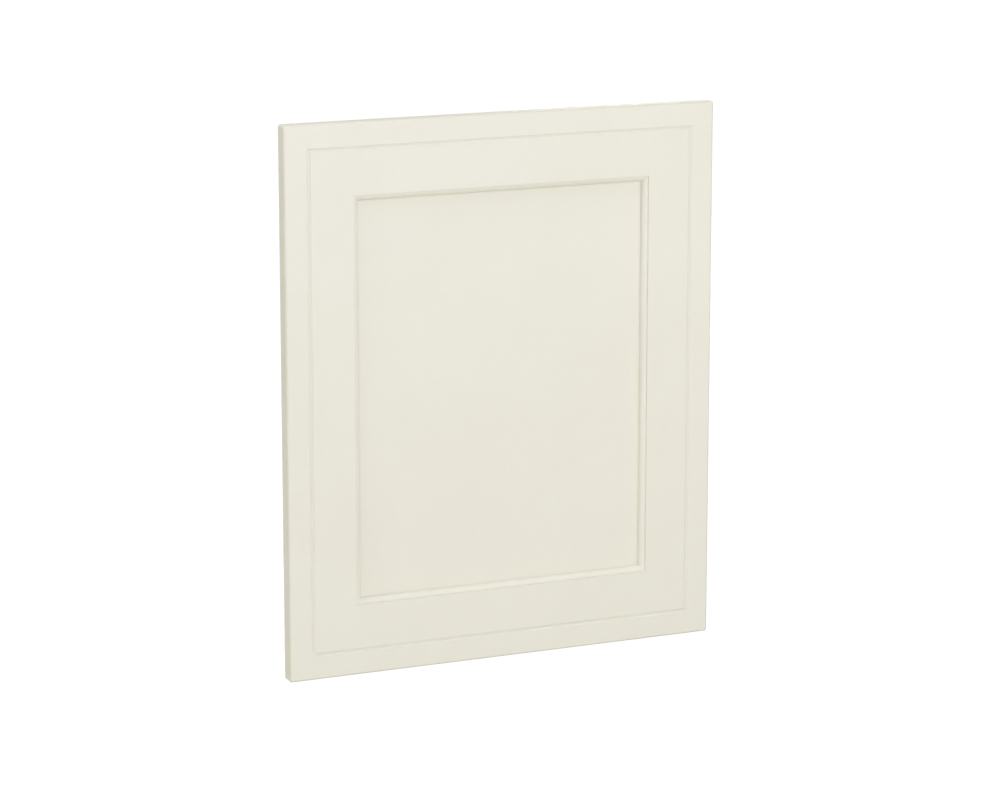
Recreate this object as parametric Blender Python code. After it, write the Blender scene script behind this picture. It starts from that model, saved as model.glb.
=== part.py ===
"""Kitchen cabinet door: a mitred, dowelled frame around a flat recessed panel.

Lengths are in metres. +X is to the right and +Z is up, seen from the painted front, which
faces -Y. The origin is the middle of the door's width, height and thickness.

A stile or a rail is drawn as one section and run out between two mitre cuts. A point of the
section is its inset from the door's outer edge and its depth behind the front face.
"""
import math

import bmesh
import bpy
from mathutils import Matrix, Vector

# The door's overall size
DOOR_WIDTH = 0.597
DOOR_HEIGHT = 0.715
DOOR_THICKNESS = 0.020

# Stiles and rails, from the outer edge to the edge of the seen panel
MEMBER_WIDTH = 0.1005
FRONT_ARRIS_RADIUS = 0.0030
BACK_ARRIS_RADIUS = 0.0010

# The fine groove that draws a line all round the face: sloping walls and a narrow flat bottom
LINE_GROOVE_INSET = 0.0302
LINE_GROOVE_WIDTH = 0.0054
LINE_GROOVE_DEPTH = 0.0013
LINE_GROOVE_BOTTOM = 0.0020

# The moulded inner edge: a quirk, which is a small square step, and a quarter round down to the panel
QUIRK_DEPTH = 0.0017

# The panel and the groove that holds it
PANEL_THICKNESS = 0.006
PANEL_TONGUE = 0.009
PANEL_FACE_FIT = 0.0003
PANEL_EDGE_FIT = 0.0010
PANEL_ARRIS = 0.0005
BACK_LIP = 0.0045
BACK_LIP_RADIUS = 0.0008

# Mitre joints, each held by loose dowels square to the cut
MITRE_FIT = 0.0003
DOWELS_PER_MITRE = 2
DOWEL_DIAMETER = 0.008
DOWEL_LENGTH = 0.035
DOWEL_CHAMFER = 0.0010
DOWEL_FLUTES = 12
DOWEL_FLUTE_DEPTH = 0.0004
DOWEL_SIDE_FIT = 0.0003
DOWEL_END_FIT = 0.0010

# Blind bores in the back of one stile for the cups of two concealed hinges
HINGE_CUP_DIAMETER = 0.035
HINGE_CUP_DEPTH = 0.0125
HINGE_CUP_EDGE_INSET = 0.0225
HINGE_CUP_END_INSET = 0.100

# Fineness of round stretches, and how far a cutter stands out of the face it enters
ARRIS_SEGMENTS = 5
OVOLO_SEGMENTS = 14
BORE_SIDES = 32
HINGE_CUP_SIDES = 64
CUT_OVERRUN = 0.002
SMOOTH_ANGLE = math.radians(25)

# Colours are linear red, green and blue
PAINT_COLOUR = (0.80, 0.78, 0.69)
PAINT_ROUGHNESS = 0.45
BEECH_COLOUR = (0.62, 0.42, 0.24)
BEECH_ROUGHNESS = 0.65

# Depths and insets that follow from the sizes above
PANEL_GROOVE_BACK = DOOR_THICKNESS - BACK_LIP
PANEL_GROOVE_FRONT = PANEL_GROOVE_BACK - PANEL_THICKNESS - 2 * PANEL_FACE_FIT
PANEL_GROOVE_FLOOR = MEMBER_WIDTH - PANEL_TONGUE - PANEL_EDGE_FIT
OVOLO_RADIUS = PANEL_GROOVE_FRONT - QUIRK_DEPTH
QUIRK_INSET = MEMBER_WIDTH - OVOLO_RADIUS


def clear_scene():
    """Remove every object that the file opened with."""
    for thing in list(bpy.data.objects):
        bpy.data.objects.remove(thing, do_unlink=True)


def painted(name, colour, roughness):
    """Make one sub-part's own material."""
    material = bpy.data.materials.new(name)
    material.use_nodes = True
    shader = material.node_tree.nodes["Principled BSDF"]
    shader.inputs["Base Color"].default_value = (*colour, 1.0)
    shader.inputs["Roughness"].default_value = roughness
    shader.inputs["Metallic"].default_value = 0.0
    return material


def add_object(name, mesh):
    """Put a mesh in the scene under the name of its sub-part."""
    thing = bpy.data.objects.new(name, mesh)
    bpy.context.scene.collection.objects.link(thing)
    return thing


def finish_mesh(name, bm):
    """Turn a closed bmesh into a mesh with its faces out and its round stretches smooth."""
    bmesh.ops.recalc_face_normals(bm, faces=bm.faces)
    mesh = bpy.data.meshes.new(name)
    bm.to_mesh(mesh)
    bm.free()
    mesh.shade_smooth()
    mesh.set_sharp_from_angle(angle=SMOOTH_ANGLE)
    return mesh


def arc(centre, radius, start, end, segments):
    """Points of a round stretch, both ends included. Angles are in degrees."""
    points = []
    for step in range(segments + 1):
        angle = math.radians(start + (end - start) * step / segments)
        points.append((centre[0] + radius * math.cos(angle), centre[1] + radius * math.sin(angle)))
    return points


def member_section():
    """Outline of a stile or rail, from the front arris round to the back arris."""
    front = FRONT_ARRIS_RADIUS
    back = BACK_ARRIS_RADIUS
    lip = BACK_LIP_RADIUS
    groove_end = LINE_GROOVE_INSET + LINE_GROOVE_WIDTH
    groove_wall = (LINE_GROOVE_WIDTH - LINE_GROOVE_BOTTOM) / 2
    outline = arc((front, front), front, 180, 270, ARRIS_SEGMENTS)
    outline += [(LINE_GROOVE_INSET, 0), (LINE_GROOVE_INSET + groove_wall, LINE_GROOVE_DEPTH)]
    outline += [(groove_end - groove_wall, LINE_GROOVE_DEPTH), (groove_end, 0)]
    outline += [(QUIRK_INSET, 0)]
    outline += arc((QUIRK_INSET, PANEL_GROOVE_FRONT), OVOLO_RADIUS, 270, 360, OVOLO_SEGMENTS)
    outline += [(PANEL_GROOVE_FLOOR, PANEL_GROOVE_FRONT), (PANEL_GROOVE_FLOOR, PANEL_GROOVE_BACK)]
    outline += [(MEMBER_WIDTH, PANEL_GROOVE_BACK)]
    outline += arc((MEMBER_WIDTH - lip, DOOR_THICKNESS - lip), lip, 0, 90, ARRIS_SEGMENTS)
    outline += arc((back, DOOR_THICKNESS - back), back, 90, 180, ARRIS_SEGMENTS)
    return outline


def mitred_member(name, length):
    """Run the section out along X, with the door's outer edge at Z = 0 and a mitre at each end."""
    setback = MITRE_FIT / math.sqrt(2)
    bm = bmesh.new()
    corners = []
    for inset, depth in member_section():
        end = length / 2 - inset - setback
        corners.append(bm.verts.new((-end, depth - DOOR_THICKNESS / 2, inset)))
    near_end = bm.faces.new(corners)
    run = bmesh.ops.extrude_face_region(bm, geom=[near_end])
    for vert in (item for item in run["geom"] if isinstance(item, bmesh.types.BMVert)):
        vert.co.x = -vert.co.x
    member = add_object(name, finish_mesh(name, bm))
    member.data.materials.append(painted(name + "_paint", PAINT_COLOUR, PAINT_ROUGHNESS))
    return member


def cut_with(member, cutters):
    """Take each cutter out of a member with a Boolean of its own."""
    for cutter in cutters:
        cut = member.modifiers.new(cutter.name, "BOOLEAN")
        cut.operation = "DIFFERENCE"
        cut.solver = "EXACT"
        cut.object = cutter


def round_cutter(name, diameter, depth, sides, placement):
    """A hidden cylinder, centred on its own middle, that stands for a drill or a cutter."""
    bm = bmesh.new()
    bmesh.ops.create_cone(
        bm, cap_ends=True, segments=sides, radius1=diameter / 2, radius2=diameter / 2, depth=depth
    )
    cutter = add_object(name, finish_mesh(name, bm))
    cutter.matrix_world = placement
    cutter.hide_render = True
    cutter.display_type = "WIRE"
    return cutter


def dowel_mesh():
    """A fluted dowel along Z with chamfered ends."""
    half = DOWEL_LENGTH / 2
    crest = DOWEL_DIAMETER / 2
    stations = [
        (-half, DOWEL_CHAMFER),
        (-half + DOWEL_CHAMFER, 0),
        (half - DOWEL_CHAMFER, 0),
        (half, DOWEL_CHAMFER),
    ]
    bm = bmesh.new()
    rings = []
    for height, taper in stations:
        ring = []
        for step in range(2 * DOWEL_FLUTES):
            angle = math.pi * step / DOWEL_FLUTES
            radius = crest - taper - (DOWEL_FLUTE_DEPTH if step % 2 else 0)
            ring.append(bm.verts.new((radius * math.cos(angle), radius * math.sin(angle), height)))
        rings.append(ring)
    for lower, upper in zip(rings, rings[1:]):
        for index, vert in enumerate(lower):
            following = (index + 1) % len(lower)
            bm.faces.new((vert, lower[following], upper[following], upper[index]))
    bm.faces.new(reversed(rings[0]))
    bm.faces.new(rings[-1])
    return finish_mesh("fluted_dowel", bm)


def dowel_placement(side, level, inset):
    """Place a dowel square across the mitre of one corner, at an inset from both edges.

    side is -1 for the left and 1 for the right, level is -1 for the bottom and 1 for the top.
    """
    middle = Vector((side * (DOOR_WIDTH / 2 - inset), 0, level * (DOOR_HEIGHT / 2 - inset)))
    across = Vector((side, 0, -level)).normalized()
    turn = across.to_track_quat("Z", "Y").to_matrix().to_4x4()
    return Matrix.Translation(middle) @ turn


def mitre_joint(side, level, corner, members):
    """Bore both members of one corner and lay the dowels in their bores."""
    solid_width = PANEL_GROOVE_FLOOR
    bore_diameter = DOWEL_DIAMETER + 2 * DOWEL_SIDE_FIT
    bore_length = DOWEL_LENGTH + 2 * DOWEL_END_FIT
    cutters = []
    for number in range(1, DOWELS_PER_MITRE + 1):
        placement = dowel_placement(side, level, solid_width * number / (DOWELS_PER_MITRE + 1))
        name = f"{corner}_dowel_{number}"
        cutters.append(round_cutter(name + "_bore", bore_diameter, bore_length, BORE_SIDES, placement))
        dowel = add_object(name, dowel_mesh())
        dowel.matrix_world = placement
        dowel.data.materials.append(painted(name + "_beech", BEECH_COLOUR, BEECH_ROUGHNESS))
    for member in members:
        cut_with(member, cutters)


def hinge_cups(stile):
    """Sink the two hinge cup bores into the back of the hinge stile."""
    depth = HINGE_CUP_DEPTH + CUT_OVERRUN
    centre_y = DOOR_THICKNESS / 2 - HINGE_CUP_DEPTH + depth / 2
    cutters = []
    for name, level in (("upper_hinge_cup_bore", 1), ("lower_hinge_cup_bore", -1)):
        centre = (
            -DOOR_WIDTH / 2 + HINGE_CUP_EDGE_INSET,
            centre_y,
            level * (DOOR_HEIGHT / 2 - HINGE_CUP_END_INSET),
        )
        placement = Matrix.Translation(centre) @ Matrix.Rotation(math.radians(90), 4, "X")
        cutters.append(round_cutter(name, HINGE_CUP_DIAMETER, depth, HINGE_CUP_SIDES, placement))
    cut_with(stile, cutters)


def centre_panel():
    """The flat board that floats in the groove of all four members."""
    tongue_inset = MEMBER_WIDTH - PANEL_TONGUE
    size = (DOOR_WIDTH - 2 * tongue_inset, PANEL_THICKNESS, DOOR_HEIGHT - 2 * tongue_inset)
    bm = bmesh.new()
    bmesh.ops.create_cube(bm, size=1.0)
    bmesh.ops.scale(bm, vec=size, verts=bm.verts)
    bmesh.ops.bevel(bm, geom=bm.edges[:], offset=PANEL_ARRIS, segments=1, affect="EDGES")
    panel = add_object("centre_panel", finish_mesh("centre_panel", bm))
    panel.location.y = PANEL_GROOVE_FRONT + PANEL_FACE_FIT + PANEL_THICKNESS / 2 - DOOR_THICKNESS / 2
    panel.data.materials.append(painted("centre_panel_paint", PAINT_COLOUR, PAINT_ROUGHNESS))
    return panel


def build_door():
    """Build the frame, its joints, the hinge bores and the panel."""
    left = mitred_member("left_stile", DOOR_HEIGHT)
    left.location.x = -DOOR_WIDTH / 2
    left.rotation_euler.y = math.radians(90)
    right = mitred_member("right_stile", DOOR_HEIGHT)
    right.location.x = DOOR_WIDTH / 2
    right.rotation_euler.y = math.radians(-90)
    bottom = mitred_member("bottom_rail", DOOR_WIDTH)
    bottom.location.z = -DOOR_HEIGHT / 2
    top = mitred_member("top_rail", DOOR_WIDTH)
    top.location.z = DOOR_HEIGHT / 2
    top.rotation_euler.y = math.radians(180)
    centre_panel()
    mitre_joint(-1, 1, "top_left", (left, top))
    mitre_joint(1, 1, "top_right", (right, top))
    mitre_joint(1, -1, "bottom_right", (right, bottom))
    mitre_joint(-1, -1, "bottom_left", (left, bottom))
    hinge_cups(left)


clear_scene()
build_door()
bpy.context.view_layer.update()
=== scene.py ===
"""Looks of a painted, framed kitchen cabinet door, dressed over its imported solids.

Lengths are in metres in the solids' own frame. +X is to the right and +Z is up, seen from the painted
front, which faces -Y, and the origin is the middle of the door. A section of the frame is drawn in two
measures: the inset from the door's outer edge, and the depth behind its front face.
"""
from __future__ import annotations

import logging
import math
from dataclasses import dataclass
from enum import Enum
from typing import ClassVar, Mapping, Union

import bmesh
import bpy
from mathutils import Matrix, Vector


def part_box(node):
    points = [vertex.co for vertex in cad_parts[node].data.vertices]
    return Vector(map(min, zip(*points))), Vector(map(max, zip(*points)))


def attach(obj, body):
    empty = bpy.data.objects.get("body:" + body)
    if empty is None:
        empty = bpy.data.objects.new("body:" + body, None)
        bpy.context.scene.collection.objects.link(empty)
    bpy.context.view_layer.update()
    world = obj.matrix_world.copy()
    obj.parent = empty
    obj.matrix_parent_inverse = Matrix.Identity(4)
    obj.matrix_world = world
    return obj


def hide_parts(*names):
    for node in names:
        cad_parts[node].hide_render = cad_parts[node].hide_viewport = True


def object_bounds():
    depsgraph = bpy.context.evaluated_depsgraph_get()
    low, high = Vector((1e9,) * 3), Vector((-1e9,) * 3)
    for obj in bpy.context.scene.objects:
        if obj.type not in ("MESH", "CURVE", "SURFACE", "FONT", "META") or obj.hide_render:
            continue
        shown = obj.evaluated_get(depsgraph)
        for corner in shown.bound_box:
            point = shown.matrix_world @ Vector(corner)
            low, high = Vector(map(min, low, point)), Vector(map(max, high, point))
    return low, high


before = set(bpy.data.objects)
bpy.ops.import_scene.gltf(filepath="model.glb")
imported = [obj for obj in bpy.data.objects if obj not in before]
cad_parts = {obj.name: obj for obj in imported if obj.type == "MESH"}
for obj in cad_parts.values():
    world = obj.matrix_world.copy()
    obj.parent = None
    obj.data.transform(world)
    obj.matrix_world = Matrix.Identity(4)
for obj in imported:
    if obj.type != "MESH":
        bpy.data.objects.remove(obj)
SOLID_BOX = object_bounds()

LOG = logging.getLogger("cabinet_door")
ROOT_BODY = "root"
PANEL_NODE = "centre_panel"
PHOTO_WIDTH = 990
WIDE_FACE_LEAD = 100
MITRE_ANGLE = math.radians(45)
QUARTER_TURN = math.radians(90)

Colour = tuple[float, float, float]
Place = tuple[int, int]
SectionPoint = tuple[float, float]
Feed = Union[float, tuple[float, ...], bpy.types.NodeSocket]
Sockets = Mapping[str, bpy.types.NodeSocket]


class Slot(Enum):
    """Names of the door's material slots."""

    FRAME = "frame_paint"
    PANEL = "panel_paint"
    DOWEL = "dowel_beech"


class Member(Enum):
    """The frame's four members, each between two corners given as (side, level)."""

    LEFT = ("left_stile", (-1, -1), (-1, 1))
    TOP = ("top_rail", (-1, 1), (1, 1))
    RIGHT = ("right_stile", (1, 1), (1, -1))
    BOTTOM = ("bottom_rail", (1, -1), (-1, -1))

    @property
    def node(self) -> str:
        """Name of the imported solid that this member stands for."""
        return self.value[0]

    @property
    def corners(self) -> tuple[Place, Place]:
        """The two corners that the member runs between."""
        return self.value[1], self.value[2]


@dataclass(frozen=True)
class DoorSizes:
    """Overall sizes and depths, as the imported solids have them."""

    width: float
    height: float
    thickness: float
    member_width: float
    panel_front: float
    panel_back: float

    @classmethod
    def from_frame(cls) -> DoorSizes:
        """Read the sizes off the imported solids.

        Returns:
            The door's sizes in metres.
        """
        low, high = SOLID_BOX
        stile_low, stile_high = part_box(Member.LEFT.node)
        panel_low, panel_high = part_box(PANEL_NODE)
        return cls(
            width=high.x - low.x,
            height=high.z - low.z,
            thickness=high.y - low.y,
            member_width=stile_high.x - stile_low.x,
            panel_front=panel_low.y - low.y,
            panel_back=panel_high.y - low.y,
        )

    def at_corner(self, corner: Place, inset: float, depth: float) -> Vector:
        """Place a point of the section on the mitre line of a corner.

        Args:
            corner: Side and level of the corner, each -1 or 1.
            inset: Distance in from both outer edges.
            depth: Distance behind the front face.

        Returns:
            The point in the door's frame.
        """
        side, level = corner
        across = side * (self.width / 2 - inset)
        up = level * (self.height / 2 - inset)
        return Vector((across, depth - self.thickness / 2, up))


@dataclass(frozen=True)
class SectionCorner:
    """One corner of a section, the radius and steps that ease it, and whether paint stops after it."""

    inset: float
    depth: float
    radius: float = 0.0
    steps: int = 4
    bare: bool = False


@dataclass(frozen=True)
class Section:
    """A closed outline of (inset, depth) points, and for each stretch whether it is bare board."""

    points: list[SectionPoint]
    bare: list[bool]

    @classmethod
    def eased(cls, corners: list[SectionCorner]) -> Section:
        """Ease each corner with an arc that touches the stretches on both of its sides.

        Args:
            corners: The outline's corners in order, the last one joined to the first.

        Returns:
            The eased section.
        """
        points: list[SectionPoint] = []
        bare: list[bool] = []
        for index, corner in enumerate(corners):
            arc = cls._arc(corners[index - 1], corner, corners[(index + 1) % len(corners)])
            points += arc
            bare += [False] * (len(arc) - 1) + [corner.bare]
        return cls(points, bare)

    @staticmethod
    def _arc(before: SectionCorner, corner: SectionCorner, after: SectionCorner) -> list[SectionPoint]:
        """Ease one corner.

        Args:
            before: The corner before it in the outline.
            corner: The corner to ease.
            after: The corner after it.

        Returns:
            The points of the easing arc, or the corner itself where it has no radius.
        """
        here = Vector((corner.inset, corner.depth))
        if corner.radius == 0:
            return [(here.x, here.y)]
        incoming = (Vector((before.inset, before.depth)) - here).normalized()
        outgoing = (Vector((after.inset, after.depth)) - here).normalized()
        half_angle = incoming.angle(outgoing) / 2
        centre = here + (incoming + outgoing).normalized() * corner.radius / math.sin(half_angle)
        reach = corner.radius / math.tan(half_angle)
        start = here + incoming * reach - centre
        end = here + outgoing * reach - centre
        first = math.atan2(start.y, start.x)
        sweep = math.atan2(start.x * end.y - start.y * end.x, start.dot(end))
        arc = []
        for step in range(corner.steps + 1):
            angle = first + sweep * step / corner.steps
            inset = centre.x + corner.radius * math.cos(angle)
            depth = centre.y + corner.radius * math.sin(angle)
            arc.append((inset, depth))
        return arc


class Wiring:
    """Adds nodes to one node tree and joins their sockets."""

    def __init__(self, tree: bpy.types.NodeTree) -> None:
        """Keep the tree that the nodes go to."""
        self.tree = tree

    def feed(self, socket: bpy.types.NodeSocket, value: Feed) -> None:
        """Link a socket to another one, or set its own value.

        Args:
            socket: The input socket to fill.
            value: An output socket, a number, or the numbers of a vector or colour.
        """
        if isinstance(value, bpy.types.NodeSocket):
            self.tree.links.new(value, socket)
        elif socket.type == "RGBA" and len(value) == 3:
            socket.default_value = (*value, 1.0)
        else:
            socket.default_value = value

    def node(self, kind: str, feeds: Mapping[Union[str, int], Feed], **settings: object) -> bpy.types.Node:
        """Add a node.

        Args:
            kind: The node's type name.
            feeds: What goes into its inputs, by socket name or number.
            settings: The node's own properties.

        Returns:
            The new node.
        """
        made = self.tree.nodes.new(kind)
        for name, value in settings.items():
            setattr(made, name, value)
        for key, value in feeds.items():
            self.feed(made.inputs[key], value)
        return made

    def math(self, operation: str, *values: Feed) -> bpy.types.NodeSocket:
        """Add a Math node and return its result."""
        feeds = dict(enumerate(values))
        return self.node("ShaderNodeMath", feeds, operation=operation).outputs[0]

    def noise(self, position: Feed, size: Feed, detail: float = 2.0) -> bpy.types.NodeSocket:
        """Add a Noise Texture and return its value.

        Args:
            position: The point that the noise is read at.
            size: How far apart its features lie.
            detail: How many finer layers it has.

        Returns:
            The noise value's socket, from 0 to 1.
        """
        scale = self.math("DIVIDE", 1.0, size) if isinstance(size, bpy.types.NodeSocket) else 1.0 / size
        feeds = {"Vector": position, "Scale": scale, "Detail": detail}
        return self.node("ShaderNodeTexNoise", feeds).outputs[0]

    def span(self, value: Feed, low: Feed, high: Feed, to_low: Feed, to_high: Feed) -> bpy.types.NodeSocket:
        """Carry a value smoothly from one range to another, held at both ends."""
        feeds = {"Value": value, "From Min": low, "From Max": high, "To Min": to_low, "To Max": to_high}
        return self.node("ShaderNodeMapRange", feeds, interpolation_type="SMOOTHSTEP").outputs["Result"]

    def blend(self, factor: Feed, first: Feed, second: Feed, mode: str = "MIX") -> bpy.types.NodeSocket:
        """Mix two colours.

        Args:
            factor: How much of the second colour there is, from 0 to 1.
            first: The colour below.
            second: The colour above.
            mode: How the second goes over the first.

        Returns:
            The mixed colour's socket.
        """
        mixer = self.tree.nodes.new("ShaderNodeMix")
        mixer.data_type = "RGBA"
        mixer.blend_type = mode
        named = {socket.identifier: socket for socket in mixer.inputs}
        self.feed(named["Factor_Float"], factor)
        self.feed(named["A_Color"], first)
        self.feed(named["B_Color"], second)
        return next(socket for socket in mixer.outputs if socket.identifier == "Result_Color")

    def position(self) -> bpy.types.NodeSocket:
        """The point in the door's frame, since every piece has its origin there."""
        return self.node("ShaderNodeTexCoord", {}).outputs["Object"]


class SurfaceEffect:
    """A shader node group that several finishes share, built once on its first use."""

    name: ClassVar[str]
    numbers: ClassVar[tuple[str, ...]] = ()
    colours: ClassVar[tuple[str, ...]] = ()
    gives: ClassVar[tuple[str, ...]] = ()

    def draw(self, wiring: Wiring, given: Sockets) -> dict[str, bpy.types.NodeSocket]:
        """Add the effect's nodes.

        Args:
            wiring: The group's wiring.
            given: The group's inputs by name.

        Returns:
            What feeds each of the group's outputs.
        """
        raise NotImplementedError

    def tree(self) -> bpy.types.NodeTree:
        """Find the group, or build it.

        Returns:
            The node group.
        """
        found = bpy.data.node_groups.get(self.name)
        if found:
            return found
        group = bpy.data.node_groups.new(self.name, "ShaderNodeTree")
        face = group.interface
        face.new_socket("Position", in_out="INPUT", socket_type="NodeSocketVector")
        for label in self.numbers:
            face.new_socket(label, in_out="INPUT", socket_type="NodeSocketFloat")
        for label in self.colours:
            face.new_socket(label, in_out="INPUT", socket_type="NodeSocketColor")
        for label in self.gives:
            kind = "NodeSocketColor" if label == "Colour" else "NodeSocketFloat"
            face.new_socket(label, in_out="OUTPUT", socket_type=kind)
        given = group.nodes.new("NodeGroupInput")
        result = group.nodes.new("NodeGroupOutput")
        wiring = Wiring(group)
        for label, socket in self.draw(wiring, given.outputs).items():
            wiring.feed(result.inputs[label], socket)
        return group

    def place(self, wiring: Wiring, feeds: Mapping[str, Feed]) -> Sockets:
        """Put the group in a material.

        Args:
            wiring: The material's wiring.
            feeds: What goes into the group's inputs.

        Returns:
            The group's outputs by name.
        """
        holder = wiring.node("ShaderNodeGroup", {}, node_tree=self.tree())
        for label, value in feeds.items():
            wiring.feed(holder.inputs[label], value)
        return holder.outputs


class EdgeDistance(SurfaceEffect):
    """How far in from the door's outer edge a point lies, which is the same on all four members."""

    name = "edge_distance"
    numbers = ("Half Width", "Half Height")
    gives = ("Inset", "Front")
    front_ends_at: ClassVar[float] = 0.003

    def draw(self, wiring: Wiring, given: Sockets) -> dict[str, bpy.types.NodeSocket]:
        """Measure to the nearest edge, and mark the moulded front, which ends at one depth.

        Args:
            wiring: The group's wiring.
            given: The group's inputs by name.

        Returns:
            The inset, and 1 in front of that depth or 0 behind it.
        """
        apart = wiring.node("ShaderNodeSeparateXYZ", {0: given["Position"]}).outputs
        across = wiring.math("SUBTRACT", given["Half Width"], wiring.math("ABSOLUTE", apart["X"]))
        upward = wiring.math("SUBTRACT", given["Half Height"], wiring.math("ABSOLUTE", apart["Z"]))
        inset = wiring.math("MINIMUM", across, upward)
        return {"Inset": inset, "Front": wiring.math("LESS_THAN", apart["Y"], self.front_ends_at)}


class PaintedShadeMask(SurfaceEffect):
    """A soft line round the door at one inset, the mask of a band of painted shade."""

    name = "painted_shade_mask"
    numbers = ("Inset", "Centre", "Reach", "Break Up")
    gives = ("Mask",)
    break_size: ClassVar[float] = 0.018

    def draw(self, wiring: Wiring, given: Sockets) -> dict[str, bpy.types.NodeSocket]:
        """Fall away from the line's centre, a little unevenly along it.

        Args:
            wiring: The group's wiring.
            given: The group's inputs by name.

        Returns:
            The mask, which is highest on the line.
        """
        away = wiring.math("ABSOLUTE", wiring.math("SUBTRACT", given["Inset"], given["Centre"]))
        near = wiring.span(away, 0.0, given["Reach"], 1.0, 0.0)
        uneven = wiring.noise(given["Position"], self.break_size, 3.0)
        lost = wiring.math("MULTIPLY", uneven, given["Break Up"])
        return {"Mask": wiring.math("MULTIPLY", near, wiring.math("SUBTRACT", 1.0, lost))}


class ToneDrift(SurfaceEffect):
    """A slow, cloudy drift between two near tones."""

    name = "tone_drift"
    numbers = ("Patch Size",)
    colours = ("First", "Second")
    gives = ("Colour", "Drift")
    fine_per_patch: ClassVar[float] = 9.0
    fine_share: ClassVar[float] = 0.35
    first_below: ClassVar[float] = 0.36
    second_above: ClassVar[float] = 0.64

    def draw(self, wiring: Wiring, given: Sockets) -> dict[str, bpy.types.NodeSocket]:
        """Mix the tones by a wide noise with a finer one on it.

        Args:
            wiring: The group's wiring.
            given: The group's inputs by name.

        Returns:
            The mixed tone, and the drift from the first tone at 0 to the second at 1.
        """
        fine_size = wiring.math("DIVIDE", given["Patch Size"], self.fine_per_patch)
        fine = wiring.noise(given["Position"], fine_size, 3.0)
        wide = wiring.noise(given["Position"], given["Patch Size"])
        wide = wiring.math("MULTIPLY", wide, 1 - self.fine_share)
        both = wiring.math("MULTIPLY_ADD", fine, self.fine_share, wide)
        drift = wiring.span(both, self.first_below, self.second_above, 0.0, 1.0)
        return {"Colour": wiring.blend(drift, given["First"], given["Second"]), "Drift": drift}


class SprayedSkin(SurfaceEffect):
    """The faint orange peel of a sprayed coat, with a mist of finer droplets and a few nibs of dust."""

    name = "sprayed_skin"
    numbers = ("Peel Size", "Peel Height", "Mist Height", "Nib Height")
    gives = ("Height", "Mist")
    mist_per_peel: ClassVar[float] = 5.0
    nibs_per_metre: ClassVar[float] = 26.0
    nib_core: ClassVar[float] = 0.006
    nib_rim: ClassVar[float] = 0.016

    def draw(self, wiring: Wiring, given: Sockets) -> dict[str, bpy.types.NodeSocket]:
        """Add up the heights of the peel, the mist and the nibs.

        Args:
            wiring: The group's wiring.
            given: The group's inputs by name.

        Returns:
            The height in metres, and the mist from 0 to 1.
        """
        peel = wiring.noise(given["Position"], given["Peel Size"], 1.0)
        mist_size = wiring.math("DIVIDE", given["Peel Size"], self.mist_per_peel)
        mist = wiring.noise(given["Position"], mist_size)
        feeds = {"Vector": given["Position"], "Scale": self.nibs_per_metre, "Randomness": 1.0}
        cells = wiring.node("ShaderNodeTexVoronoi", feeds, feature="F1").outputs["Distance"]
        nibs = wiring.span(cells, self.nib_core, self.nib_rim, 1.0, 0.0)
        height = wiring.math("MULTIPLY", peel, given["Peel Height"])
        height = wiring.math("MULTIPLY_ADD", mist, given["Mist Height"], height)
        height = wiring.math("MULTIPLY_ADD", nibs, given["Nib Height"], height)
        return {"Height": height, "Mist": mist}


class FibreFleck(SurfaceEffect):
    """Short fibres that lie along Z of the position that is fed in."""

    name = "fibre_fleck"
    numbers = ("Fibre Width", "Stretch")
    gives = ("Mask", "Height")
    crest_starts: ClassVar[float] = 0.42
    crest_full: ClassVar[float] = 0.66

    def draw(self, wiring: Wiring, given: Sockets) -> dict[str, bpy.types.NodeSocket]:
        """Stretch a noise along Z and keep its crests.

        Args:
            wiring: The group's wiring.
            given: The group's inputs by name.

        Returns:
            The mask of the fibres, and their height from 0 to 1.
        """
        apart = wiring.node("ShaderNodeSeparateXYZ", {0: given["Position"]}).outputs
        along = wiring.math("DIVIDE", apart["Z"], given["Stretch"])
        drawn = wiring.node("ShaderNodeCombineXYZ", {0: apart["X"], 1: apart["Y"], 2: along}).outputs[0]
        strands = wiring.noise(drawn, given["Fibre Width"], 4.0)
        mask = wiring.span(strands, self.crest_starts, self.crest_full, 0.0, 1.0)
        return {"Mask": mask, "Height": strands}


class Finish:
    """A finish that is made into one material."""

    name: str

    def material(self) -> bpy.types.Material:
        """Build the finish's material, or find it if it is there.

        Returns:
            The material.
        """
        found = bpy.data.materials.get(self.name)
        if found:
            return found
        made = bpy.data.materials.new(self.name)
        made.use_nodes = True
        self.shade(Wiring(made.node_tree), made.node_tree.nodes["Principled BSDF"])
        return made

    def shade(self, wiring: Wiring, shader: bpy.types.Node) -> None:
        """Feed the Principled shader's sockets.

        Args:
            wiring: The material's wiring.
            shader: The material's Principled shader.
        """
        raise NotImplementedError

    @staticmethod
    def relief(wiring: Wiring, shader: bpy.types.Node, height: Feed) -> None:
        """Turn a height in metres into the shader's normal."""
        bump = wiring.node("ShaderNodeBump", {"Height": height, "Distance": 1.0, "Strength": 1.0})
        wiring.feed(shader.inputs["Normal"], bump.outputs["Normal"])


@dataclass(frozen=True)
class PaintedShadeLine:
    """A band of painted shade round the door: its inset, its reach to each side and its depth, which is how
    strongly it darkens the coat.
    """

    inset: float
    reach: float
    depth: float


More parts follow.
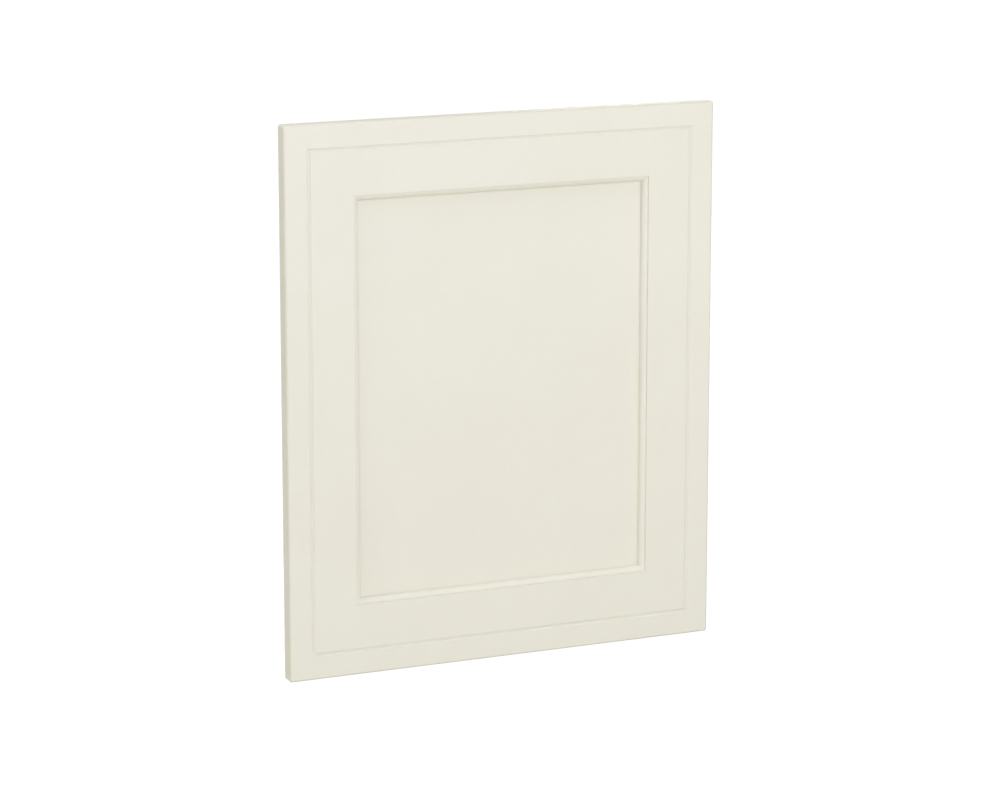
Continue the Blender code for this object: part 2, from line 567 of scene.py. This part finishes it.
@dataclass(frozen=True)
class PaintFinish(Finish):
    """Low-sheen cream paint, sprayed, with painted shade darkening its groove, quirk and moulding foot, and
    its outer edges and edge faces.
    """

    name: str
    sizes: DoorSizes
    painted_shade: tuple[PaintedShadeLine, ...]
    light_tone: Colour = (0.811, 0.790, 0.692)
    deep_tone: Colour = (0.801, 0.779, 0.681)
    # Painted shade: the tint of the lines darkens the groove, the quirk and the moulding's foot.
    painted_shade_tint: Colour = (0.925, 0.920, 0.890)
    painted_shade_break_up: float = 0.35
    # Painted shade: the edge tint darkens the arrises and the door's edge faces, where less light falls.
    edge_shade_tint: Colour = (0.900, 0.890, 0.824)
    edge_shade_reach: float = 0.0035
    edge_shade_break_up: float = 0.15
    patch_size: float = 0.11
    roughness: float = 0.42
    roughness_drift: float = 0.05
    peel_size: float = 0.0034
    peel_height: float = 0.000012
    mist_height: float = 0.0000022
    nib_height: float = 0.00004

    def shade(self, wiring: Wiring, shader: bpy.types.Node) -> None:
        """Lay the tone, the painted shade on the lines and the edges, the sheen and the skin.

        Args:
            wiring: The material's wiring.
            shader: The material's Principled shader.
        """
        position = wiring.position()
        half_sizes = {"Half Width": self.sizes.width / 2, "Half Height": self.sizes.height / 2}
        edge = EdgeDistance().place(wiring, {"Position": position, **half_sizes})
        tones = {"Position": position, "Patch Size": self.patch_size}
        tone = ToneDrift().place(wiring, {**tones, "First": self.light_tone, "Second": self.deep_tone})
        along = {"Position": position, "Inset": edge["Inset"]}
        # Painted shade along the groove, the quirk and the moulding's foot, on the front only.
        painted_shade: Feed = 0.0
        for line in self.painted_shade:
            feeds = {"Centre": line.inset, "Reach": line.reach, "Break Up": self.painted_shade_break_up}
            mask = PaintedShadeMask().place(wiring, {**along, **feeds})["Mask"]
            painted_shade = wiring.math("MAXIMUM", painted_shade, wiring.math("MULTIPLY", mask, line.depth))
        painted_shade = wiring.math("MULTIPLY", painted_shade, edge["Front"])
        # Painted shade on the outer arrises and edge faces.
        feeds = {"Centre": 0.0, "Reach": self.edge_shade_reach, "Break Up": self.edge_shade_break_up}
        outer = PaintedShadeMask().place(wiring, {**along, **feeds})["Mask"]
        colour = wiring.blend(painted_shade, tone["Colour"], self.painted_shade_tint, "MULTIPLY")
        colour = wiring.blend(outer, colour, self.edge_shade_tint, "MULTIPLY")
        wiring.feed(shader.inputs["Base Color"], colour)
        skin_sizes = {"Peel Size": self.peel_size, "Peel Height": self.peel_height}
        skin_sizes |= {"Mist Height": self.mist_height, "Nib Height": self.nib_height}
        skin = SprayedSkin().place(wiring, {"Position": position, **skin_sizes})
        sheen = wiring.math("MULTIPLY_ADD", tone["Drift"], self.roughness_drift, self.roughness)
        sheen = wiring.math("MULTIPLY_ADD", skin["Mist"], self.roughness_drift, sheen)
        # The bands of painted shade are also a touch glossier.
        sheen = wiring.math("MULTIPLY_ADD", painted_shade, -self.roughness_drift, sheen)
        wiring.feed(shader.inputs["Roughness"], sheen)
        self.relief(wiring, shader, skin["Height"])


@dataclass(frozen=True)
class RawBoardFinish(Finish):
    """Bare medium density fibreboard, as a joint face or a drilled bore shows it."""

    name: str = "raw_fibreboard"
    light_tone: Colour = (0.47, 0.34, 0.22)
    deep_tone: Colour = (0.38, 0.26, 0.16)
    fleck_tone: Colour = (0.60, 0.46, 0.31)
    fleck_share: float = 0.55
    patch_size: float = 0.014
    fibre_width: float = 0.0005
    fibre_stretch: float = 3.0
    fibre_height: float = 0.00005
    roughness: float = 0.86
    fibre_sheen: float = 0.06

    def shade(self, wiring: Wiring, shader: bpy.types.Node) -> None:
        """Scatter pale fibres over a drifting brown.

        Args:
            wiring: The material's wiring.
            shader: The material's Principled shader.
        """
        position = wiring.position()
        tones = {"Position": position, "Patch Size": self.patch_size}
        tone = ToneDrift().place(wiring, {**tones, "First": self.light_tone, "Second": self.deep_tone})
        lengths = {"Fibre Width": self.fibre_width, "Stretch": self.fibre_stretch}
        fibre = FibreFleck().place(wiring, {"Position": position, **lengths})
        fleck = wiring.math("MULTIPLY", fibre["Mask"], self.fleck_share)
        wiring.feed(shader.inputs["Base Color"], wiring.blend(fleck, tone["Colour"], self.fleck_tone))
        sheen = wiring.math("MULTIPLY_ADD", fibre["Mask"], -self.fibre_sheen, self.roughness)
        wiring.feed(shader.inputs["Roughness"], sheen)
        self.relief(wiring, shader, wiring.math("MULTIPLY", fibre["Height"], self.fibre_height))


@dataclass(frozen=True)
class BeechFinish(Finish):
    """Bare beech whose grain runs along a dowel, turned about Y from the upright."""

    name: str
    turn: float
    light_tone: Colour = (0.66, 0.45, 0.27)
    deep_tone: Colour = (0.56, 0.36, 0.20)
    fleck_tone: Colour = (0.36, 0.20, 0.10)
    fleck_share: float = 0.6
    fleck_sharpness: float = 3.0
    patch_size: float = 0.006
    fibre_width: float = 0.0004
    fibre_stretch: float = 22.0
    fibre_height: float = 0.00004
    roughness: float = 0.66
    roughness_drift: float = 0.08

    def shade(self, wiring: Wiring, shader: bpy.types.Node) -> None:
        """Run brown flecks and fine grain along the dowel.

        Args:
            wiring: The material's wiring.
            shader: The material's Principled shader.
        """
        feeds = {"Vector": wiring.position(), "Rotation": (0.0, self.turn, 0.0)}
        position = wiring.node("ShaderNodeMapping", feeds).outputs[0]
        tones = {"Position": position, "Patch Size": self.patch_size}
        tone = ToneDrift().place(wiring, {**tones, "First": self.light_tone, "Second": self.deep_tone})
        lengths = {"Fibre Width": self.fibre_width, "Stretch": self.fibre_stretch}
        fibre = FibreFleck().place(wiring, {"Position": position, **lengths})
        crests = wiring.math("POWER", fibre["Mask"], self.fleck_sharpness)
        fleck = wiring.math("MULTIPLY", crests, self.fleck_share)
        wiring.feed(shader.inputs["Base Color"], wiring.blend(fleck, tone["Colour"], self.fleck_tone))
        sheen = wiring.math("MULTIPLY_ADD", tone["Drift"], self.roughness_drift, self.roughness)
        wiring.feed(shader.inputs["Roughness"], sheen)
        self.relief(wiring, shader, wiring.math("MULTIPLY", fibre["Height"], self.fibre_height))


@dataclass(frozen=True)
class StudioFloorFinish(Finish):
    """A pale matt floor with a glow of its own, so that it looks white."""

    name: str = "studio_floor"
    tone: Colour = (0.93, 0.93, 0.93)
    roughness: float = 0.9
    glow: float = 0.78

    def shade(self, wiring: Wiring, shader: bpy.types.Node) -> None:
        """Set the floor's own even values.

        Args:
            wiring: The material's wiring.
            shader: The material's Principled shader.
        """
        wiring.feed(shader.inputs["Base Color"], self.tone)
        wiring.feed(shader.inputs["Roughness"], self.roughness)
        wiring.feed(shader.inputs["Emission Color"], self.tone)
        wiring.feed(shader.inputs["Emission Strength"], self.glow)


def show(name: str, bm: bmesh.types.BMesh, finishes: tuple[Finish, ...]) -> bpy.types.Object:
    """Turn a closed bmesh into an object in the scene.

    Args:
        name: The object's name.
        bm: The mesh in the door's frame. It is freed.
        finishes: The finishes of its material slots in order.

    Returns:
        The new object.
    """
    bmesh.ops.recalc_face_normals(bm, faces=bm.faces)
    mesh = bpy.data.meshes.new(name)
    bm.to_mesh(mesh)
    bm.free()
    for finish in finishes:
        mesh.materials.append(finish.material())
    thing = bpy.data.objects.new(name, mesh)
    bpy.context.scene.collection.objects.link(thing)
    return thing


def apply_modifiers(piece: bpy.types.Object) -> None:
    """Give a piece the mesh that its modifiers make of it, and clear them.

    Args:
        piece: The object whose modifiers are applied.
    """
    depsgraph = bpy.context.evaluated_depsgraph_get()
    piece.data = bpy.data.meshes.new_from_object(piece.evaluated_get(depsgraph))
    piece.modifiers.clear()


def settle(piece: bpy.types.Object, sharp_angle: float) -> None:
    """Smooth a piece, keep its sharp edges, and make its wide faces shade flat.

    Args:
        piece: The object, which has no modifiers left.
        sharp_angle: Edges that turn by more than this stay sharp, in radians.
    """
    piece.data.shade_smooth()
    piece.data.set_sharp_from_angle(angle=sharp_angle)
    weighted = piece.modifiers.new("wide_faces_lead", "WEIGHTED_NORMAL")
    weighted.mode = "FACE_AREA"
    weighted.weight = WIDE_FACE_LEAD
    weighted.keep_sharp = True
    apply_modifiers(piece)
    piece.data.name = piece.name


@dataclass(frozen=True)
class TurnedCutter:
    """A cutter turned about an axis from (radius, distance along the axis) points."""

    profile: tuple[tuple[float, float], ...]
    sides: int

    def build(self, name: str, placement: Matrix, finishes: tuple[Finish, ...]) -> bpy.types.Object:
        """Turn the cutter and put it in its place.

        Args:
            name: The cutter's name.
            placement: Where its axis, which is Z, and its zero lie.
            finishes: The finishes of its slots. The last one is what the cut leaves behind.

        Returns:
            The hidden cutter.
        """
        bm = bmesh.new()
        rings = []
        for radius, along in self.profile:
            if radius == 0:
                rings.append([bm.verts.new(placement @ Vector((0, 0, along)))] * self.sides)
                continue
            ring = []
            for side in range(self.sides):
                angle = 2 * math.pi * side / self.sides
                point = Vector((radius * math.cos(angle), radius * math.sin(angle), along))
                ring.append(bm.verts.new(placement @ point))
            rings.append(ring)
        for lower, upper in zip(rings, rings[1:]):
            for side in range(self.sides):
                following = (side + 1) % self.sides
                around = (lower[side], lower[following], upper[following], upper[side])
                bm.faces.new(dict.fromkeys(around)).material_index = len(finishes) - 1
        cutter = show(name, bm, finishes)
        cutter.hide_render = True
        return cutter


@dataclass(frozen=True)
class HingeCups:
    """The two blind bores for hinge cups in the back of the hinge stile."""

    diameter: float = 0.035
    depth: float = 0.0125
    edge_inset: float = 0.0225
    end_inset: float = 0.100
    floor_ease: float = 0.0004
    rim_ease: float = 0.0003
    spur_radius: float = 0.0016
    spur_depth: float = 0.0011
    overrun: float = 0.002
    sides: int = 96

    def cutters(self, sizes: DoorSizes, finishes: tuple[Finish, ...]) -> list[bpy.types.Object]:
        """Build one cutter for each cup, with the dimple that the drill's spur leaves in the floor.

        Args:
            sizes: The door's sizes.
            finishes: The finishes of the stile, bare board last.

        Returns:
            The cutters.
        """
        radius = self.diameter / 2
        rim = radius + self.rim_ease
        profile = (
            (0.0, self.depth + self.spur_depth),
            (self.spur_radius, self.depth),
            (radius - self.floor_ease, self.depth),
            (radius, self.depth - self.floor_ease),
            (radius, self.rim_ease),
            (rim, 0.0),
            (rim, -self.overrun),
            (0.0, -self.overrun),
        )
        made = []
        for level in (1, -1):
            middle = sizes.at_corner((-1, level), 0.0, sizes.thickness)
            middle += Vector((self.edge_inset, 0.0, -level * self.end_inset))
            placement = Matrix.Translation(middle) @ Matrix.Rotation(QUARTER_TURN, 4, "X")
            name = f"hinge_cup_{level}"
            made.append(TurnedCutter(profile, self.sides).build(name, placement, finishes))
        return made


@dataclass(frozen=True)
class MitreDowels:
    """The fluted dowels inside each mitre, and the bores that they lie in."""

    bore_diameter: float = 0.0086
    bore_length: float = 0.037
    sides: int = 40

    @staticmethod
    def nodes_at(corner: Place) -> list[str]:
        """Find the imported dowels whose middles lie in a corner's quarter of the door.

        Args:
            corner: The corner's side and level.

        Returns:
            Their names in order.
        """
        found = []
        for name in sorted(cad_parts):
            low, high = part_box(name)
            middle = (low + high) / 2
            if "dowel" in name and middle.x * corner[0] > 0 and middle.z * corner[1] > 0:
                found.append(name)
        return found

    @staticmethod
    def axis_at(corner: Place) -> Vector:
        """Direction of a corner's dowels, square to its mitre."""
        return Vector((corner[0], 0, -corner[1])).normalized()

    def cutters(self, corner: Place, finishes: tuple[Finish, ...]) -> list[bpy.types.Object]:
        """Build a cutter round each dowel of a corner.

        Args:
            corner: The corner's side and level.
            finishes: The finishes of the member, bare board last.

        Returns:
            The cutters.
        """
        radius = self.bore_diameter / 2
        half = self.bore_length / 2
        profile = ((0.0, -half), (radius, -half), (radius, half), (0.0, half))
        turn = self.axis_at(corner).to_track_quat("Z", "Y").to_matrix().to_4x4()
        made = []
        for name in self.nodes_at(corner):
            low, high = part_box(name)
            placement = Matrix.Translation((low + high) / 2) @ turn
            made.append(TurnedCutter(profile, self.sides).build(name + "_bore", placement, finishes))
        return made

    def dress(self) -> None:
        """Give each packed dowel beech whose grain runs along it."""
        for corner in ((-1, 1), (1, 1), (1, -1), (-1, -1)):
            lean = corner[0] * corner[1]
            grain = "beech_rising" if lean < 0 else "beech_falling"
            finish = BeechFinish(grain, MITRE_ANGLE * lean)
            for name in self.nodes_at(corner):
                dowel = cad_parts[name]
                dowel.material_slots[0].material = finish.material()
                LOG.info("%s dressed in %s", name, finish.name)


@dataclass(frozen=True)
class MouldedFrame:
    """The two stiles and two rails: one moulded section, mitred, with its corners softened by paint."""

    sizes: DoorSizes
    front_arris: float = 0.003
    front_arris_steps: int = 12
    back_arris: float = 0.0010
    back_lip_ease: float = 0.0008
    back_steps: int = 6
    groove_inset: float = 0.0302
    groove_width: float = 0.0054
    groove_depth: float = 0.0013
    groove_bottom: float = 0.0020
    groove_ease: float = 0.0004
    # Values that darken the groove, the quirk and the moulding's foot are painted shade.
    groove_shade: float = 0.35
    quirk_depth: float = 0.0017
    quirk_ease: float = 0.00025
    quirk_shade_reach: float = 0.0015
    quirk_shade: float = 1.0
    ovolo_radius: float = 0.0072
    ovolo_start_fit: float = 0.0000025
    ovolo_steps: int = 26
    foot_bead: float = 0.0003
    foot_shade_reach: float = 0.0016
    foot_shade: float = 0.6
    panel_tongue: float = 0.010
    corner_radius: float = 0.0032
    corner_steps: int = 5
    sharp_angle: float = math.radians(38)

    @property
    def quirk_inset(self) -> float:
        """Where the flat land ends and the quirk drops."""
        return self.sizes.member_width - self.ovolo_radius

    def section(self) -> Section:
        """Outline of a member, from the front arris over the face and round the back.

        Returns:
            The eased section, bare inside the panel's groove.
        """
        sizes = self.sizes
        wall = (self.groove_width - self.groove_bottom) / 2
        groove_end = self.groove_inset + self.groove_width
        ovolo = self.ovolo_radius - self.quirk_ease - self.ovolo_start_fit
        floor = sizes.member_width - self.panel_tongue
        inner = sizes.member_width
        return Section.eased(
            [
                SectionCorner(0, 0, self.front_arris, self.front_arris_steps),
                SectionCorner(self.groove_inset, 0, self.groove_ease),
                SectionCorner(self.groove_inset + wall, self.groove_depth, self.groove_ease),
                SectionCorner(groove_end - wall, self.groove_depth, self.groove_ease),
                SectionCorner(groove_end, 0, self.groove_ease),
                SectionCorner(self.quirk_inset, 0, self.quirk_ease),
                SectionCorner(self.quirk_inset, self.quirk_depth, self.quirk_ease),
                SectionCorner(inner, self.quirk_depth, ovolo, self.ovolo_steps),
                SectionCorner(inner, sizes.panel_front, self.foot_bead),
                SectionCorner(inner + self.foot_bead, sizes.panel_front, bare=True),
                SectionCorner(floor, sizes.panel_front, bare=True),
                SectionCorner(floor, sizes.panel_back, bare=True),
                SectionCorner(inner, sizes.panel_back),
                SectionCorner(inner, sizes.thickness, self.back_lip_ease, self.back_steps),
                SectionCorner(0, sizes.thickness, self.back_arris, self.back_steps),
            ]
        )

    def painted_shade_lines(self) -> tuple[PaintedShadeLine, ...]:
        """List the bands of painted shade: in the fine groove, in the quirk and at the moulding's foot.

        Returns:
            The lines, from the outer edge inwards.
        """
        half_groove = self.groove_width / 2
        return (
            PaintedShadeLine(self.groove_inset + half_groove, half_groove, self.groove_shade),
            PaintedShadeLine(self.quirk_inset, self.quirk_shade_reach, self.quirk_shade),
            PaintedShadeLine(self.sizes.member_width, self.foot_shade_reach, self.foot_shade),
        )

    def build(self) -> None:
        """Build the four members, cut their bores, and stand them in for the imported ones."""
        section = self.section()
        paint = PaintFinish("cream_paint_frame", self.sizes, self.painted_shade_lines())
        finishes = (paint, RawBoardFinish())
        for member in Member:
            piece = self.run_out(member, section, finishes)
            cutters = []
            for corner in member.corners:
                cutters += MitreDowels().cutters(corner, finishes)
            if member is Member.LEFT:
                cutters += HingeCups().cutters(self.sizes, finishes)
            self.carve(piece, cutters)
            settle(piece, self.sharp_angle)
            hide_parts(member.node)
            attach(piece, ROOT_BODY)
            LOG.info("%s: %d faces, %d bores", piece.name, len(piece.data.polygons), len(cutters))

    def run_out(self, member: Member, section: Section, finishes: tuple[Finish, ...]) -> bpy.types.Object:
        """Run the section from one mitre to the other, and round it into each outer corner.

        Args:
            member: Which member it is.
            section: The outline to run out.
            finishes: Paint and bare board.

        Returns:
            The member's object.
        """
        bm = bmesh.new()
        rails = []
        for inset, depth in section.points:
            near = self.corner_turn(member.corners[0], member.corners[1], inset, depth)
            far = self.corner_turn(member.corners[1], member.corners[0], inset, depth)
            rails.append([bm.verts.new(point) for point in near + far[::-1]])
        for index, bare in enumerate(section.bare):
            rail, following = rails[index], rails[(index + 1) % len(rails)]
            if len(rail) == len(following):
                pairs = list(zip(rail, following))
                strips = [(*pair, *beyond[::-1]) for pair, beyond in zip(pairs, pairs[1:])]
            else:
                strips = [tuple(rail + following[::-1])]
            for strip in strips:
                bm.faces.new(strip).material_index = int(bare)
        for end in (0, -1):
            bm.faces.new([rail[end] for rail in rails]).material_index = 1
        return show(member.node + "_painted", bm, finishes)

    def corner_turn(self, corner: Place, other: Place, inset: float, depth: float) -> list[Vector]:
        """Points of one rail from a corner's mitre to where the member runs straight.

        Args:
            corner: The corner that the points lie at.
            other: The corner at the member's other end.
            inset: The rail's distance in from the outer edges.
            depth: Its distance behind the front face.

        Returns:
            The point on the mitre alone, or where the rail lies near the outer edge, its arc as well.
        """
        if inset >= self.corner_radius:
            return [self.sizes.at_corner(corner, inset, depth)]
        middle = self.sizes.at_corner(corner, self.corner_radius, depth)
        radius = self.corner_radius - inset
        outward = Vector((corner[0], 0, 0)) if corner[0] == other[0] else Vector((0, 0, corner[1]))
        endward = Vector((0, 0, corner[1])) if corner[0] == other[0] else Vector((corner[0], 0, 0))
        arc = []
        for step in range(self.corner_steps + 1):
            angle = MITRE_ANGLE * (1 - step / self.corner_steps)
            arc.append(middle + outward * radius * math.cos(angle) + endward * radius * math.sin(angle))
        return arc

    @staticmethod
    def carve(piece: bpy.types.Object, cutters: list[bpy.types.Object]) -> None:
        """Take each cutter out of a piece, apply the cuts and clear the cutters away.

        Args:
            piece: The member to cut.
            cutters: What is cut out of it.
        """
        for cutter in cutters:
            cut = piece.modifiers.new(cutter.name, "BOOLEAN")
            cut.operation = "DIFFERENCE"
            cut.solver = "EXACT"
            cut.object = cutter
        apply_modifiers(piece)
        for cutter in cutters:
            bpy.data.objects.remove(cutter, do_unlink=True)


@dataclass(frozen=True)
class CentrePanel:
    """The flat painted board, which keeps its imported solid."""

    sizes: DoorSizes
    # Painted shade on the panel along the moulding's foot.
    panel_shade_reach: float = 0.0045
    panel_shade: float = 0.4

    def dress(self) -> None:
        """Paint the panel, with painted shade along the foot of the moulding."""
        painted_shade = (PaintedShadeLine(self.sizes.member_width, self.panel_shade_reach, self.panel_shade),)
        paint = PaintFinish("cream_paint_panel", self.sizes, painted_shade)
        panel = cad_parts[PANEL_NODE]
        panel.material_slots[0].material = paint.material()
        LOG.info("%s dressed in %s", PANEL_NODE, paint.name)


@dataclass(frozen=True)
class SoftBox:
    """A square soft light aimed at the door. Its angles are in degrees, from straight in front of it."""

    name: str
    azimuth: float
    elevation: float
    distance: float
    size: float
    power: float
    tint: Colour = (1.0, 1.0, 1.0)

    def build(self) -> bpy.types.Object:
        """Add the light.

        Returns:
            The light's object.
        """
        data = bpy.data.lights.new(self.name, "AREA")
        data.shape = "SQUARE"
        data.size = self.size
        data.energy = self.power
        data.color = self.tint
        lamp = bpy.data.objects.new(self.name, data)
        turn, rise = math.radians(self.azimuth), math.radians(self.elevation)
        away = Vector((math.sin(turn) * math.cos(rise), -math.cos(turn) * math.cos(rise), math.sin(rise)))
        lamp.location = away * self.distance
        lamp.rotation_mode = "QUATERNION"
        lamp.rotation_quaternion = away.to_track_quat("Z", "Y")
        lamp.visible_camera = False
        bpy.context.scene.collection.objects.link(lamp)
        return lamp


@dataclass(frozen=True)
class Studio:
    """A plain pale floor, an even white surround and a few soft lights."""

    floor_level: float = -2.6
    floor_size: float = 60.0
    surround: float = 0.377
    surround_tint: Colour = (0.985, 0.995, 0.95)
    lights: tuple[SoftBox, ...] = (
        SoftBox("front_box", 5.0, 20.0, 3.0, 1.6, 28.3, (0.965, 1.0, 0.942)),
        SoftBox("low_front_box", 0.0, -15.0, 3.0, 1.6, 14.2, (0.985, 1.0, 0.892)),
        SoftBox("right_front_box", 40.0, 5.0, 3.0, 1.6, 13.7, (0.92, 0.832, 1.0)),
        SoftBox("left_box", -95.0, 40.0, 3.0, 1.6, 35.5, (0.97, 1.0, 1.0)),
        SoftBox("low_left_box", -60.0, -35.0, 3.0, 1.6, 14.0, (1.0, 0.98, 0.923)),
        SoftBox("near_left_box", -45.0, 45.0, 1.5, 0.9, 2.4, (0.54, 0.375, 1.0)),
        SoftBox("top_box", 0.0, 75.0, 3.0, 1.6, 12.5, (0.89, 0.91, 1.0)),
        SoftBox("right_back_box", 140.0, 5.0, 3.0, 1.6, 40.0),
        SoftBox("back_box", 180.0, 50.0, 3.0, 1.6, 12.0),
        SoftBox("low_back_box", -170.0, -25.0, 3.0, 1.6, 15.0),
    )

    def build(self) -> None:
        """Add the floor, the surround and the lights, and keep plain colours in the picture."""
        bm = bmesh.new()
        bmesh.ops.create_grid(bm, x_segments=1, y_segments=1, size=self.floor_size / 2)
        bmesh.ops.translate(bm, verts=bm.verts, vec=(0, 0, self.floor_level))
        floor = show("studio_floor", bm, (StudioFloorFinish(),))
        floor.visible_diffuse = False
        floor.visible_glossy = False
        floor.visible_shadow = False
        self.light_surround()
        for light in self.lights:
            light.build()
        bpy.context.scene.view_settings.view_transform = "Standard"
        bpy.context.scene.view_settings.look = "None"
        LOG.info("studio: floor at %.2f m, %d soft lights", self.floor_level, len(self.lights))

    def light_surround(self) -> None:
        """Fill the world with an even light, which the camera itself sees as white."""
        world = bpy.data.worlds.new("studio_surround")
        world.use_nodes = True
        bpy.context.scene.world = world
        wiring = Wiring(world.node_tree)
        background = world.node_tree.nodes["Background"]
        seen = wiring.node("ShaderNodeLightPath", {}).outputs["Is Camera Ray"]
        wiring.feed(background.inputs["Color"], wiring.blend(seen, self.surround_tint, (1.0, 1.0, 1.0)))
        wiring.feed(background.inputs["Strength"], wiring.span(seen, 0.0, 1.0, self.surround, 1.0))


@dataclass(frozen=True)
class Viewpoint:
    """The camera, at the photograph's viewing angle. Angles are in degrees."""

    location: tuple[float, float, float] = (-1.83042, -4.08271, 0.95179)
    turned_right: float = 24.0508
    tipped_down: float = 12.2877
    focal_length_pixels: float = 3546.89
    sensor_width: float = 36.0

    def place(self) -> None:
        """Add the camera and make it the scene's own."""
        data = bpy.data.cameras.new("camera")
        data.sensor_width = self.sensor_width
        data.lens = self.focal_length_pixels / PHOTO_WIDTH * self.sensor_width
        camera = bpy.data.objects.new("camera", data)
        camera.location = self.location
        upright = QUARTER_TURN - math.radians(self.tipped_down)
        camera.rotation_euler = (upright, 0.0, -math.radians(self.turned_right))
        bpy.context.scene.collection.objects.link(camera)
        bpy.context.scene.camera = camera
        LOG.info("camera with a %.1f mm lens", data.lens)


def main() -> None:
    """Dress the door, light it and place the camera."""
    logging.basicConfig(level=logging.INFO, format="%(name)s: %(message)s")
    sizes = DoorSizes.from_frame()
    Viewpoint().place()
    MouldedFrame(sizes).build()
    CentrePanel(sizes).dress()
    MitreDowels().dress()
    Studio().build()


if __name__ == "__main__":
    main()
